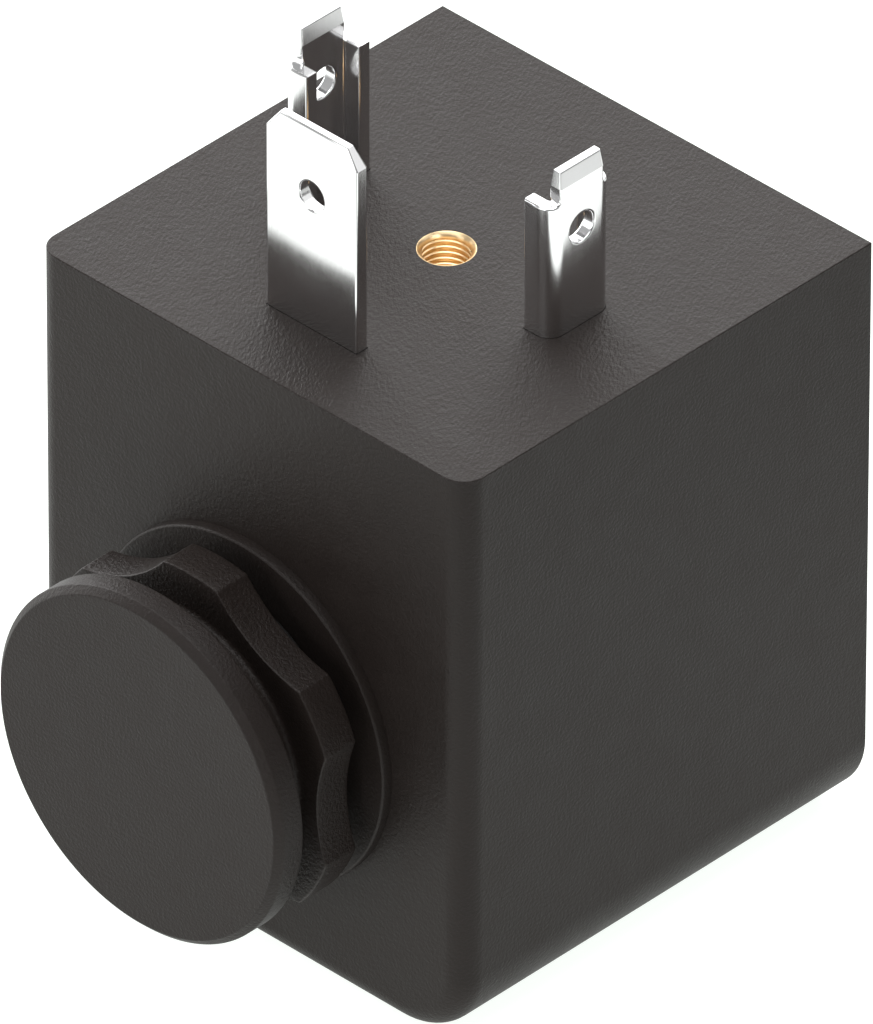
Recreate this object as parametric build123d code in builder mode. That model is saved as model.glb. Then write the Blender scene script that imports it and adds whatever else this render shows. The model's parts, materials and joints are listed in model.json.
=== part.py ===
from build123d import *
import os

os.makedirs("parts", exist_ok=True)

# Millimetres. The Y axis is the bore axis and y = 0 is the rear face, which meets the valve.
# Depths are counted forwards from that face, towards -Y. The plug contacts point up, along +Z.

# Housing
body_width = 30.0
body_depth = 29.5
terminal_room = 5.7
underside_radius = 4.6
front_edge_radius = 1.4
boss_wall = 3.5
boss_height = 0.65
boss_edge = 0.1
bore_radius = 6.5
end_wall = 2.0
underside_wall = 1.9

# Clearances
mould_gap = 0.05
collar_gap = 0.02
snap_gap = 0.05

# Magnetic yoke
yoke_thickness = 2.0
yoke_width = 20.0
yoke_bend = 2.3
leg_corner = 2.0
tab_width = 6.0
plate_side_gap = 0.25
bush_wall = 1.0
bush_length = 5.0
bush_chamfer = 0.4

# Spool and winding
flange_thickness = 1.0
flange_lip = 2.0
tube_wall = 1.7
winding_build = 2.2
winding_clearance = 0.6
tape_thickness = 0.2
tape_margin = 0.6

# Plug pattern, with the power contacts 18 mm apart, a little in front of the block's middle
pattern_forward = 0.5
contact_pitch = 18.0
contact_sheet = 0.8
contact_width = 4.6
contact_lip = 1.85
contact_bend = 0.95
lip_height = 7.9
tongue_width = 3.1
tongue_tip_width = 2.9
tongue_tip_thickness = 0.48
tongue_height = 9.88
tongue_tip_height = 0.96
contact_hole_radius = 0.88
contact_hole_height = 5.95
tail_width = 1.6
tail_length = 5.5

# Earth contact
earth_offset = 9.33
earth_width = 6.3
earth_height = 12.08
earth_tip_height = 1.05
earth_tip_width = 4.7
earth_tip_thickness = 0.46
earth_bend = 1.2
earth_foot_length = 6.0
earth_hole_radius = 0.86
earth_hole_height = 8.1
rivet_radius = 1.0
rivet_head_radius = 1.9
rivet_head_height = 0.8
rivet_sink = 0.7
rivet_inset = 2.0

# Carrier plate under the plug face
carrier_lift = 2.0
carrier_thickness = 2.5
carrier_side_margin = 2.5
carrier_front_margin = 2.4
carrier_rear_margin = 4.75
carrier_corner = 1.0
rail_spacing = 11.0
rail_width = 1.2

# Brass insert for the plug's centre screw
screw_core_radius = 1.25
screw_depth = 4.8
insert_radius = 2.25
insert_collar_radius = 1.53
insert_collar_height = 0.4
insert_waist_radius = 1.9
insert_band = 1.9
insert_sink = 0.26

# Winding ends and their soldered joints
lead_radius = 0.2
lead_bend = 0.8
lead_inset = 0.3
lead_angle = 42.0
lead_rise = 3.6
channel_gap = 0.08
solder_radius = 1.25
solder_height = 2.4
solder_shoulder = 0.7
solder_shoulder_radius = 0.8
solder_rise = 0.8
pocket_gap = 0.3

# Seals
rear_seal_wall = 1.5
rear_seal_width = 1.6
rear_seal_depth = 1.4
seal_side_gap = 0.05
front_seal_lap = 0.3
front_seal_width = 1.1
front_seal_thickness = 1.4
seal_edge = 0.3

# Coil nut, with a fine M12 thread
thread_core_radius = 5.46
thread_mouth = 0.5
nut_radius = 10.05
nut_thickness = 2.2
scallop_count = 6
scallop_reach = 8.87
scallop_radius = 9.2
scallop_round = 0.25
nut_edge = 0.12
neck_radius = 7.6
neck_height = 2.1
neck_root_radius = 0.3

# Disc cover, snapped over the front of the neck
cover_radius = 10.0
cover_thickness = 1.75
cover_face_radius = 9.6
cover_edge_height = 0.4
cover_skin = 0.65
snap_height = 0.15
snap_width = 0.4

# Sizes and places that follow, from the bore outwards
boss_radius = bore_radius + boss_wall
bush_radius = bore_radius + bush_wall
tube_radius = bore_radius + tube_wall
winding_radius = tube_radius + winding_build
flange_radius = winding_radius + flange_lip
leg_top_z = winding_radius + winding_clearance
window_bottom_z = -leg_top_z
frame_foot_z = window_bottom_z - yoke_thickness
underside_z = frame_foot_z - underside_wall
plug_face_z = -underside_z + terminal_room
boss_depth = body_depth + boss_height
pattern_y = -(body_depth / 2 + pattern_forward)
frame_rear = end_wall
frame_front = body_depth - end_wall
frame_length = frame_front - frame_rear
window_gap = yoke_bend - yoke_thickness
spool_rear = frame_rear + yoke_thickness
spool_front = frame_front - yoke_thickness
winding_rear = spool_rear + flange_thickness
winding_front = spool_front - flange_thickness
plate_top_z = leg_top_z + yoke_thickness
carrier_z = plate_top_z + carrier_lift
carrier_top_z = carrier_z + carrier_thickness
earth_y = pattern_y - earth_offset
carrier_width = contact_pitch + 2 * carrier_side_margin
carrier_front_y = earth_y - carrier_front_margin
carrier_rear_y = pattern_y + carrier_rear_margin
web_x = contact_pitch / 2
plate_width = 2 * (web_x - solder_radius - plate_side_gap)
tail_bottom_z = carrier_z - tail_length
earth_front_y = earth_y - contact_sheet / 2
rivet_y = earth_front_y + earth_foot_length - rivet_inset
insert_bottom_z = carrier_z
rear_seal_inner = bore_radius + rear_seal_wall
rear_seal_outer = rear_seal_inner + rear_seal_width
front_seal_inner = bore_radius - front_seal_lap
front_seal_outer = front_seal_inner + front_seal_width
seal_depth = boss_depth + front_seal_thickness
neck_front = seal_depth + nut_thickness + neck_height
cover_front = neck_front + cover_thickness
neck_end = cover_front - cover_skin


def channel_section(side, grow=0.0):
    """Bent channel of a power contact, open towards the middle of the plug face."""
    outer_x = side * (web_x + contact_sheet / 2)
    lip_x = outer_x - side * contact_lip
    low_y = pattern_y - contact_width / 2
    high_y = pattern_y + contact_width / 2
    ends = [(lip_x, low_y), (outer_x, low_y), (outer_x, high_y), (lip_x, high_y)]
    inward = Side.LEFT if side > 0 else Side.RIGHT
    with BuildSketch() as section:
        with BuildLine():
            outside = FilletPolyline(*ends, radius=contact_bend)
            offset(outside, amount=contact_sheet, side=inward)
        make_face()
        if grow:
            offset(amount=grow, kind=Kind.INTERSECTION)
    return section.sketch


def lead_points(side):
    """Way of a winding end, from the edge of the winding up and along to its contact."""
    y = -(winding_rear + lead_inset)
    start = Vector(winding_radius + lead_radius + mould_gap, 0, 0).rotate(Axis.Y, -lead_angle)
    rise_z = tail_bottom_z + solder_rise + solder_height / 2
    joint_y = pattern_y + solder_radius + collar_gap
    return [
        (side * start.X, y, start.Z),
        (side * web_x, y, start.Z + lead_rise / 2),
        (side * web_x, y, rise_z),
        (side * web_x, joint_y, rise_z),
    ]


def tip_sections(place, base_z, height, base_size, tip_size):
    """Lower and upper outline of a contact's bevelled tip."""
    sections = []
    for z, size in ((base_z, base_size), (base_z + height, tip_size)):
        with BuildSketch(Plane.XY.offset(z)) as section:
            with Locations(place):
                Rectangle(*size)
        sections.append(section.sketch)
    return sections


def yoke_section():
    """Bent strip of the yoke frame, seen from the side: Y across and Z up."""
    with BuildSketch() as section:
        with BuildLine():
            outside = FilletPolyline((-frame_rear, leg_top_z), (-frame_rear, frame_foot_z),
                                     (-frame_front, frame_foot_z), (-frame_front, leg_top_z),
                                     radius=yoke_bend)
            offset(outside, amount=yoke_thickness, side=Side.RIGHT)
        make_face()
    return section.sketch


# Spool for the winding
with BuildPart() as bobbin:
    for flange_depth in (spool_rear, winding_front):
        with BuildSketch(Plane.XZ.offset(flange_depth)):
            Circle(flange_radius)
            with Locations((0, (leg_top_z + window_bottom_z) / 2)):
                Rectangle(2 * flange_radius, leg_top_z - window_bottom_z - 2 * window_gap,
                          mode=Mode.INTERSECT)
        extrude(amount=flange_thickness)
    with BuildSketch(Plane.XZ.offset(spool_rear)):
        Circle(tube_radius)
    extrude(amount=spool_front - spool_rear)
    with BuildSketch(Plane.XZ.offset(spool_rear)):
        Circle(bore_radius)
    extrude(amount=spool_front - spool_rear, mode=Mode.SUBTRACT)
    for seat_depth in (spool_rear, frame_front - bush_length):
        with BuildSketch(Plane.XZ.offset(seat_depth)):
            Circle(bush_radius + mould_gap)
        extrude(amount=bush_length - yoke_thickness, mode=Mode.SUBTRACT)

# Copper winding
with BuildPart() as winding:
    with BuildSketch(Plane.XZ.offset(winding_rear)):
        Circle(winding_radius)
        Circle(tube_radius + mould_gap, mode=Mode.SUBTRACT)
    extrude(amount=winding_front - winding_rear)

# Insulating tape around the winding
with BuildPart() as winding_tape:
    with BuildSketch(Plane.XZ.offset(winding_rear + tape_margin)):
        Circle(winding_radius + mould_gap + tape_thickness)
        Circle(winding_radius + mould_gap, mode=Mode.SUBTRACT)
    extrude(amount=winding_front - winding_rear - 2 * tape_margin)

# U-shaped yoke with a staking tab on each leg
with BuildPart() as yoke_frame:
    with BuildSketch(Plane.YZ):
        add(yoke_section())
    extrude(amount=yoke_width / 2, both=True)
    chamfer(yoke_frame.edges().filter_by(Axis.Y).group_by(Axis.Z)[-1], leg_corner)
    for leg_depth in (frame_rear, spool_front):
        with BuildSketch(Plane.XZ.offset(leg_depth)):
            with Locations((0, leg_top_z + yoke_thickness / 2)):
                Rectangle(tab_width, yoke_thickness)
        extrude(amount=yoke_thickness)
        with BuildSketch(Plane.XZ.offset(leg_depth)):
            Circle(bush_radius + mould_gap)
        extrude(amount=yoke_thickness, mode=Mode.SUBTRACT)

# Closing plate of the yoke, notched for the tabs
with BuildPart() as yoke_plate:
    with BuildSketch(Plane.XY.offset(leg_top_z)):
        with Locations((0, -(frame_rear + frame_front) / 2)):
            Rectangle(plate_width, frame_length)
        for notch_depth in (frame_rear, spool_front):
            with Locations((0, -(notch_depth + yoke_thickness / 2))):
                Rectangle(tab_width + 2 * mould_gap, yoke_thickness + 2 * mould_gap,
                          mode=Mode.SUBTRACT)
    extrude(amount=yoke_thickness)
    with Locations(Plane((0, rivet_y, leg_top_z), z_dir=(0, 0, -1))):
        CounterSinkHole(rivet_radius + mould_gap, rivet_head_radius)

# Steel bushes that carry the flux from the legs towards the armature
with BuildPart() as flux_bush_rear:
    with BuildSketch(Plane.XZ.offset(frame_rear)):
        Circle(bush_radius)
        Circle(bore_radius, mode=Mode.SUBTRACT)
    extrude(amount=bush_length)
    inner_rim = flux_bush_rear.faces().sort_by(Axis.Y)[0].edges().sort_by(SortBy.RADIUS)[-1]
    chamfer(inner_rim, bush_chamfer)

with BuildPart() as flux_bush_front:
    with BuildSketch(Plane.XZ.offset(frame_front - bush_length)):
        Circle(bush_radius)
        Circle(bore_radius, mode=Mode.SUBTRACT)
    extrude(amount=bush_length)
    inner_rim = flux_bush_front.faces().sort_by(Axis.Y)[-1].edges().sort_by(SortBy.RADIUS)[-1]
    chamfer(inner_rim, bush_chamfer)

# Power contacts
contacts = {}
shoulder_z = plug_face_z + lip_height
for contact_name, side in (("contact_left", -1), ("contact_right", 1)):
    with BuildPart() as contact:
        with BuildSketch(Plane.XY.offset(carrier_z)):
            add(channel_section(side))
        extrude(amount=shoulder_z - carrier_z)
        with BuildSketch(Plane.XY.offset(shoulder_z)):
            add(channel_section(side))
            with Locations((side * web_x, pattern_y)):
                Rectangle(contact_sheet, tongue_width, mode=Mode.INTERSECT)
        extrude(amount=tongue_height - tongue_tip_height - lip_height)
        loft(tip_sections((side * web_x, pattern_y),
                          plug_face_z + tongue_height - tongue_tip_height, tongue_tip_height,
                          (contact_sheet, tongue_width), (tongue_tip_thickness, tongue_tip_width)))
        with BuildSketch(Plane.XY.offset(tail_bottom_z)):
            with Locations((side * web_x, pattern_y)):
                Rectangle(contact_sheet, tail_width)
        extrude(amount=tail_length)
        with BuildSketch(Plane.YZ.offset(side * (web_x - contact_sheet))):
            with Locations((pattern_y, plug_face_z + contact_hole_height)):
                Circle(contact_hole_radius)
        extrude(amount=side * 2 * contact_sheet, mode=Mode.SUBTRACT)
    contacts[contact_name] = contact.part

# Earth contact, bent to lie on the closing plate
with BuildPart() as earth_blade:
    tip_base_z = plug_face_z + earth_height - earth_tip_height
    with BuildSketch(Plane.YZ):
        with BuildLine():
            outside = FilletPolyline((earth_front_y, tip_base_z), (earth_front_y, plate_top_z),
                                     (earth_front_y + earth_foot_length, plate_top_z),
                                     radius=earth_bend)
            offset(outside, amount=contact_sheet, side=Side.LEFT)
        make_face()
    extrude(amount=earth_width / 2, both=True)
    loft(tip_sections((0, earth_y), tip_base_z, earth_tip_height,
                      (earth_width, contact_sheet), (earth_tip_width, earth_tip_thickness)))
    with BuildSketch(Plane.XZ.offset(-earth_front_y - 2 * contact_sheet)):
        with Locations((0, plug_face_z + earth_hole_height)):
            Circle(earth_hole_radius)
    extrude(amount=3 * contact_sheet, mode=Mode.SUBTRACT)
    with BuildSketch(Plane.XY.offset(plate_top_z)):
        with Locations((0, rivet_y)):
            Circle(rivet_radius + mould_gap)
    extrude(amount=contact_sheet, mode=Mode.SUBTRACT)

# Rivet that joins the earth contact to the yoke
with BuildPart() as earth_rivet:
    foot_top_z = plate_top_z + contact_sheet
    with BuildSketch(Plane.XZ.offset(-rivet_y)):
        with BuildLine():
            Polyline((0, foot_top_z + rivet_head_height), (0, leg_top_z),
                     (rivet_radius + rivet_sink - mould_gap, leg_top_z),
                     (rivet_radius, leg_top_z + rivet_sink),
                     (rivet_radius, foot_top_z), (rivet_head_radius, foot_top_z))
            RadiusArc((rivet_head_radius, foot_top_z), (0, foot_top_z + rivet_head_height),
                      -(rivet_head_radius**2 + rivet_head_height**2) / (2 * rivet_head_height))
        make_face()
    revolve(axis=Axis((0, rivet_y, 0), (0, 0, 1)))

# Carrier that holds the contacts and the insert in line
with BuildPart() as terminal_carrier:
    with BuildSketch(Plane.XY.offset(carrier_z)) as carrier_plan:
        with Locations((0, (carrier_front_y + carrier_rear_y) / 2)):
            RectangleRounded(carrier_width, carrier_rear_y - carrier_front_y, carrier_corner)
        for side in (-1, 1):
            add(channel_section(side, mould_gap), mode=Mode.SUBTRACT)
        with Locations((0, earth_y)):
            Rectangle(earth_width + 2 * mould_gap, contact_sheet + 2 * mould_gap,
                      mode=Mode.SUBTRACT)
        with Locations((0, pattern_y)):
            Circle(insert_radius + mould_gap, mode=Mode.SUBTRACT)
    extrude(amount=carrier_thickness)
    with BuildSketch(Plane.XY.offset(plate_top_z)):
        with Locations((-rail_spacing / 2, (carrier_front_y + carrier_rear_y) / 2),
                       (rail_spacing / 2, (carrier_front_y + carrier_rear_y) / 2)):
            Rectangle(rail_width, carrier_rear_y - carrier_front_y - 2 * carrier_corner)
    extrude(amount=carrier_lift)

# Brass insert with its collar flush in the plug face
with BuildPart() as plug_insert:
    step_z = plug_face_z - insert_collar_height
    with BuildSketch(Plane.XZ.offset(-pattern_y)):
        with BuildLine():
            Polyline((0, insert_bottom_z), (insert_radius, insert_bottom_z),
                     (insert_radius, insert_bottom_z + insert_band),
                     (insert_waist_radius, insert_bottom_z + insert_band),
                     (insert_waist_radius, step_z - insert_band),
                     (insert_radius, step_z - insert_band), (insert_radius, step_z),
                     (insert_collar_radius, step_z), (insert_collar_radius, plug_face_z),
                     (screw_core_radius + insert_sink, plug_face_z),
                     (screw_core_radius, plug_face_z - insert_sink),
                     (screw_core_radius, plug_face_z - screw_depth),
                     (0, plug_face_z - screw_depth), close=True)
        make_face()
    revolve(axis=Axis((0, pattern_y, 0), (0, 0, 1)))

# Winding ends
leads = {}
for lead_name, side in (("lead_start", -1), ("lead_finish", 1)):
    with BuildPart() as lead:
        with BuildLine() as way:
            FilletPolyline(*lead_points(side), radius=lead_bend)
        with BuildSketch(Plane(way.line @ 0, z_dir=way.line % 0)):
            Circle(lead_radius)
        sweep()
    leads[lead_name] = lead.part

# Soldered joints on the contact tails
with BuildPart() as solder_joints:
    solder_z = tail_bottom_z + solder_rise
    solder_outline = [
        (0, 0),
        (solder_shoulder_radius, 0),
        (solder_radius, solder_shoulder),
        (solder_radius, solder_height - solder_shoulder),
        (solder_shoulder_radius, solder_height),
        (0, solder_height),
    ]
    for side in (-1, 1):
        with BuildSketch(Plane.XZ.offset(-pattern_y)):
            with BuildLine():
                Polyline(*[(side * (web_x + r), solder_z + h) for r, h in solder_outline], close=True)
            make_face()
        revolve(axis=Axis((side * web_x, pattern_y, 0), (0, 0, 1)))
        with BuildSketch(Plane.XY.offset(tail_bottom_z)):
            with Locations((side * web_x, pattern_y)):
                Rectangle(contact_sheet, tail_width)
        extrude(amount=tail_length, mode=Mode.SUBTRACT)

# Overmoulded housing
with BuildPart() as housing:
    with BuildSketch(Plane.XZ) as block:
        with Locations((0, (plug_face_z + underside_z) / 2)):
            Rectangle(body_width, plug_face_z - underside_z)
        fillet(block.vertices().group_by(Axis.Y)[0], underside_radius)
    extrude(amount=body_depth)
    front_rim = housing.faces().sort_by(Axis.Y)[0].edges()
    fillet(front_rim - front_rim.sort_by(Axis.Z)[-1:], front_edge_radius)
    with BuildSketch(Plane.XZ.offset(body_depth)):
        Circle(boss_radius)
    extrude(amount=boss_height)
    chamfer(housing.faces().sort_by(Axis.Y)[0].edges(), boss_edge)
    with BuildSketch(Plane.XZ):
        Circle(bore_radius)
    extrude(amount=boss_depth, mode=Mode.SUBTRACT)

    # Groove of the rear seal
    with BuildSketch(Plane.XZ):
        Circle(rear_seal_outer)
        Circle(rear_seal_inner, mode=Mode.SUBTRACT)
    extrude(amount=rear_seal_depth, mode=Mode.SUBTRACT)

    # Space of the yoke frame and its plate
    with BuildSketch(Plane.YZ):
        add(yoke_section())
    extrude(amount=yoke_width / 2, both=True, mode=Mode.SUBTRACT)
    with BuildSketch(Plane.XY.offset(leg_top_z)):
        with Locations((0, -(frame_rear + frame_front) / 2)):
            Rectangle(plate_width, frame_length)
    extrude(amount=yoke_thickness, mode=Mode.SUBTRACT)

    # Space of the spool and the taped winding
    for flange_depth in (spool_rear, winding_front):
        with BuildSketch(Plane.XZ.offset(flange_depth)):
            Circle(flange_radius + mould_gap)
            with Locations((0, (leg_top_z + window_bottom_z) / 2)):
                Rectangle(3 * flange_radius, leg_top_z - window_bottom_z, mode=Mode.INTERSECT)
        extrude(amount=flange_thickness, mode=Mode.SUBTRACT)
    with BuildSketch(Plane.XZ.offset(winding_rear)):
        Circle(winding_radius + tape_thickness + 2 * mould_gap)
    extrude(amount=winding_front - winding_rear, mode=Mode.SUBTRACT)

    # Space of the carrier, the earth foot and the contact tails
    with BuildSketch(Plane.XY.offset(plate_top_z)):
        with Locations((0, (carrier_front_y + carrier_rear_y) / 2)):
            RectangleRounded(carrier_width, carrier_rear_y - carrier_front_y, carrier_corner)
    extrude(amount=carrier_top_z - plate_top_z, mode=Mode.SUBTRACT)
    for side in (-1, 1):
        with BuildSketch(Plane.XY.offset(tail_bottom_z)):
            with Locations((side * web_x, pattern_y)):
                Rectangle(2 * (solder_radius + pocket_gap), 2 * (solder_radius + pocket_gap))
        extrude(amount=plate_top_z - tail_bottom_z, mode=Mode.SUBTRACT)
        with BuildLine() as way:
            FilletPolyline(*lead_points(side), radius=lead_bend)
        with BuildSketch(Plane(way.line @ 0, z_dir=way.line % 0)):
            Circle(lead_radius + channel_gap)
        sweep(mode=Mode.SUBTRACT)

    # Ways out through the plug face
    with BuildSketch(Plane.XY.offset(carrier_top_z)):
        for side in (-1, 1):
            add(channel_section(side, collar_gap))
        with Locations((0, earth_y)):
            Rectangle(earth_width + 2 * collar_gap, contact_sheet + 2 * collar_gap)
        with Locations((0, pattern_y)):
            Circle(insert_collar_radius + collar_gap)
    extrude(amount=plug_face_z - carrier_top_z, mode=Mode.SUBTRACT)
    with BuildSketch(Plane.XY.offset(carrier_top_z)):
        with Locations((0, pattern_y)):
            Circle(insert_radius + mould_gap)
    extrude(amount=plug_face_z - insert_collar_height - carrier_top_z, mode=Mode.SUBTRACT)

# Seal in the face that meets the valve
with BuildPart() as seal_rear:
    with BuildSketch(Plane.XZ):
        Circle(rear_seal_outer - seal_side_gap)
        Circle(rear_seal_inner + seal_side_gap, mode=Mode.SUBTRACT)
    extrude(amount=rear_seal_depth)
    chamfer(seal_rear.edges().filter_by(GeomType.CIRCLE), seal_edge)

# Seal between the nut and the boss
with BuildPart() as seal_front:
    with BuildSketch(Plane.XZ.offset(boss_depth)):
        Circle(front_seal_outer)
        Circle(front_seal_inner, mode=Mode.SUBTRACT)
    extrude(amount=front_seal_thickness)
    chamfer(seal_front.edges().filter_by(GeomType.CIRCLE), seal_edge)

# Coil nut: scalloped grip, neck and thread core
with BuildPart() as nut:
    with BuildSketch(Plane.XZ.offset(seal_depth)) as grip:
        Circle(nut_radius)
        with PolarLocations(scallop_reach + scallop_radius, scallop_count):
            Circle(scallop_radius, mode=Mode.SUBTRACT)
        fillet(grip.vertices(), scallop_round)
    extrude(amount=nut_thickness)
    chamfer(nut.faces().sort_by(Axis.Y)[0].edges(), nut_edge)
    with BuildSketch(Plane.XY):
        with BuildLine():
            root = -(seal_depth + nut_thickness)
            Polyline((0, -seal_depth), (neck_radius + neck_root_radius, -seal_depth),
                     (neck_radius + neck_root_radius, root),
                     (neck_radius, root - neck_root_radius),
                     (neck_radius, -neck_end + 2 * snap_width),
                     (neck_radius + snap_height, -neck_end + 1.5 * snap_width),
                     (neck_radius, -neck_end + snap_width), (neck_radius, -neck_end),
                     (0, -neck_end), close=True)
        make_face()
    revolve(axis=Axis.Y)
    with BuildSketch(Plane.XY):
        with BuildLine():
            Polyline((0, -seal_depth), (thread_core_radius + thread_mouth, -seal_depth),
                     (thread_core_radius, -seal_depth - thread_mouth),
                     (thread_core_radius, -neck_end), (0, -neck_end), close=True)
        make_face()
    revolve(axis=Axis.Y, mode=Mode.SUBTRACT)

# Disc cover with a bevelled front edge
with BuildPart() as nut_cover:
    with BuildSketch(Plane.XY):
        with BuildLine():
            socket = neck_radius + snap_gap
            Line((0, -cover_front), (cover_face_radius, -cover_front))
            Line((cover_face_radius, -cover_front), (cover_radius, -cover_front + cover_edge_height))
            Polyline((cover_radius, -cover_front + cover_edge_height), (cover_radius, -neck_front),
                     (socket, -neck_front),
                     (socket, -neck_end + 2 * snap_width + snap_gap),
                     (socket + snap_height, -neck_end + 1.5 * snap_width),
                     (socket, -neck_end + snap_width - snap_gap), (socket, -neck_end),
                     (0, -neck_end), (0, -cover_front))
        make_face()
    revolve(axis=Axis.Y)

solids = {
    "housing": housing.part,
    "bobbin": bobbin.part,
    "winding": winding.part,
    "winding_tape": winding_tape.part,
    "yoke_frame": yoke_frame.part,
    "yoke_plate": yoke_plate.part,
    "flux_bush_front": flux_bush_front.part,
    "flux_bush_rear": flux_bush_rear.part,
    "contact_left": contacts["contact_left"],
    "contact_right": contacts["contact_right"],
    "earth_blade": earth_blade.part,
    "earth_rivet": earth_rivet.part,
    "terminal_carrier": terminal_carrier.part,
    "plug_insert": plug_insert.part,
    "lead_start": leads["lead_start"],
    "lead_finish": leads["lead_finish"],
    "solder_joints": solder_joints.part,
    "seal_rear": seal_rear.part,
    "seal_front": seal_front.part,
    "nut": nut.part,
    "nut_cover": nut_cover.part,
}

for node_name, solid in solids.items():
    solid.label = node_name
    export_step(solid, f"parts/{node_name}.step")
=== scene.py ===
# %% [markdown]
# This lesson dresses a solenoid valve coil. The coil is a black moulded block around a copper
# winding. It slides over an armature tube, a nut with a disc cover holds it there, and a plug fits
# over the three contacts on top. The CAD model gives every place and size. Blender adds the finish
# of each surface, and the fine forms that a CAD solid leaves out, such as screw threads, broken
# edges and the turns of the winding.

import json
import math

import bmesh
import bpy
from mathutils import Matrix, Vector


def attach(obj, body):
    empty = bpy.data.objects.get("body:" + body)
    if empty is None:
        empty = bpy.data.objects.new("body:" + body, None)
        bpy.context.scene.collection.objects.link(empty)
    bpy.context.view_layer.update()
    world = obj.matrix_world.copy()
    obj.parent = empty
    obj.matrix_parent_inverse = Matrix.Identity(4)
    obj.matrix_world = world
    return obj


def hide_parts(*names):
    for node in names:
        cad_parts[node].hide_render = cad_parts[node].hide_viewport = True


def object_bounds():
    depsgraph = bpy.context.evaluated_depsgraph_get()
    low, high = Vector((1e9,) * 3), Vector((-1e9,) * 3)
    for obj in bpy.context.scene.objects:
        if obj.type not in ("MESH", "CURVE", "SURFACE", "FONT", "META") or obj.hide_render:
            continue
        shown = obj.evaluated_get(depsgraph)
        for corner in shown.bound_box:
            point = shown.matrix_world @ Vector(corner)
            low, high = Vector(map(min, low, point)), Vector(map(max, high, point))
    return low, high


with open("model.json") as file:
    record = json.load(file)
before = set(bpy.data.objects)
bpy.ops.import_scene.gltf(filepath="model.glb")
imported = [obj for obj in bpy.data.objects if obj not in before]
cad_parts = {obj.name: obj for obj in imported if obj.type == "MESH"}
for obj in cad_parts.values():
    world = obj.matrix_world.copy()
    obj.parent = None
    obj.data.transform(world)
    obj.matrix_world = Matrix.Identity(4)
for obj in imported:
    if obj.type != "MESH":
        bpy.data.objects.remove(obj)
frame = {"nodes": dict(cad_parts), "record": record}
cad_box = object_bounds()
mm = 0.001
print("CAD box in mm:", [[round(value / mm, 2) for value in corner] for corner in cad_box])


# %% [markdown]
# Node trees are easier to read when their sums look like sums. The small class below wraps the
# output of a node, so that `1 - mask` adds a Math node by itself. The same class serves shader
# trees and Geometry Nodes trees, because both use the same Math node. Colours and vectors don't go
# through it: a Math node would turn a colour grey.

# %% A node's output that can be used in sums
class Wire:
    def __init__(self, tree, socket):
        self.tree, self.socket = tree, socket

    def __add__(self, other):
        return self.tree.maths("ADD", self, other)

    def __sub__(self, other):
        return self.tree.maths("SUBTRACT", self, other)

    def __rsub__(self, other):
        return self.tree.maths("SUBTRACT", other, self)

    def __mul__(self, other):
        return self.tree.maths("MULTIPLY", self, other)

    def __truediv__(self, other):
        return self.tree.maths("DIVIDE", self, other)

    def __rtruediv__(self, other):
        return self.tree.maths("DIVIDE", other, self)

    __radd__ = __add__
    __rmul__ = __mul__


# %% [markdown]
# Every other node comes from one method. It takes the node's type, its settings, and the values or
# links of its sockets. Settings come first, because some of them change which sockets a node has.

# %% A tree that adds its own nodes
class Tree:
    def __init__(self, tree):
        self.tree = tree
        self.tree.nodes.clear()

    def node(self, kind, settings=None, sockets=None, out=0):
        node = self.tree.nodes.new(kind)
        for name, value in (settings or {}).items():
            setattr(node, name, value)
        for key, value in (sockets or {}).items():
            socket = node.inputs[key]
            if isinstance(value, Wire):
                self.tree.links.new(value.socket, socket)
            elif socket.type == "RGBA":
                socket.default_value = (*value, 1.0)
            else:
                socket.default_value = value
        return Wire(self, node.outputs[out]) if node.outputs else node

    def maths(self, operation, *values):
        return self.node("ShaderNodeMath", {"operation": operation}, dict(enumerate(values)))


# %% [markdown]
# A finish is a material whose pattern is worked out from the place on the object. Object
# coordinates are in metres, so patches of 0.2 mm need a noise scale of 1 / 0.0002. A pattern that
# is tied to them has its true size on every piece, large or small.

# %% A material that begins as an empty shader tree
class Finish(Tree):
    def __init__(self, name):
        self.material = bpy.data.materials.new(name)
        self.material.use_nodes = True
        super().__init__(self.material.node_tree)
        self.place = self.node("ShaderNodeTexCoord", out="Object")

    def stretched(self, x=1.0, y=1.0, z=1.0):
        """Coordinates in which patterns are drawn out along the axes with small numbers."""
        return self.node("ShaderNodeMapping", {}, {"Vector": self.place, "Scale": (x, y, z)})

    def drawn_out(self, times, angle):
        """Coordinates in which patterns are that many times longer one way across the Z axis."""
        return self.node("ShaderNodeMapping", {"vector_type": "TEXTURE"},
                         {"Vector": self.place, "Rotation": (0, 0, angle),
                          "Scale": (1, times, 1)})

    def noise(self, size, detail=2.0, place=None):
        """Soft random pattern from 0 to 1, with patches about size metres across."""
        return self.node("ShaderNodeTexNoise", {},
                         {"Vector": place or self.place, "Scale": 1 / size, "Detail": detail})

    def between(self, share, first, second):
        """Colour that goes from the first to the second. A Mix node has sockets of the same name
        for each kind of value, so the ones for colours are picked by number."""
        factor, start_colour, end_colour, result = 0, 6, 7, 2
        return self.node("ShaderNodeMix", {"data_type": "RGBA"},
                         {factor: share, start_colour: first, end_colour: second}, out=result)

    def relief(self, height, depth):
        """Normal of a surface with bumps of that depth in metres where height is 1."""
        return self.node("ShaderNodeBump", {}, {"Height": height, "Distance": depth})

    def close(self, colour, roughness, normal, **constants):
        """Joins everything in one shader. An underscore stands for a space in a socket's name."""
        sockets = {"Base Color": colour, "Roughness": roughness, "Normal": normal}
        sockets.update({name.replace("_", " "): value for name, value in constants.items()})
        shader = self.node("ShaderNodeBsdfPrincipled", {}, sockets)
        self.node("ShaderNodeOutputMaterial", {}, {"Surface": shader})
        print(f"finish {self.material.name}: {len(self.tree.nodes)} nodes")
        return self.material


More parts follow.
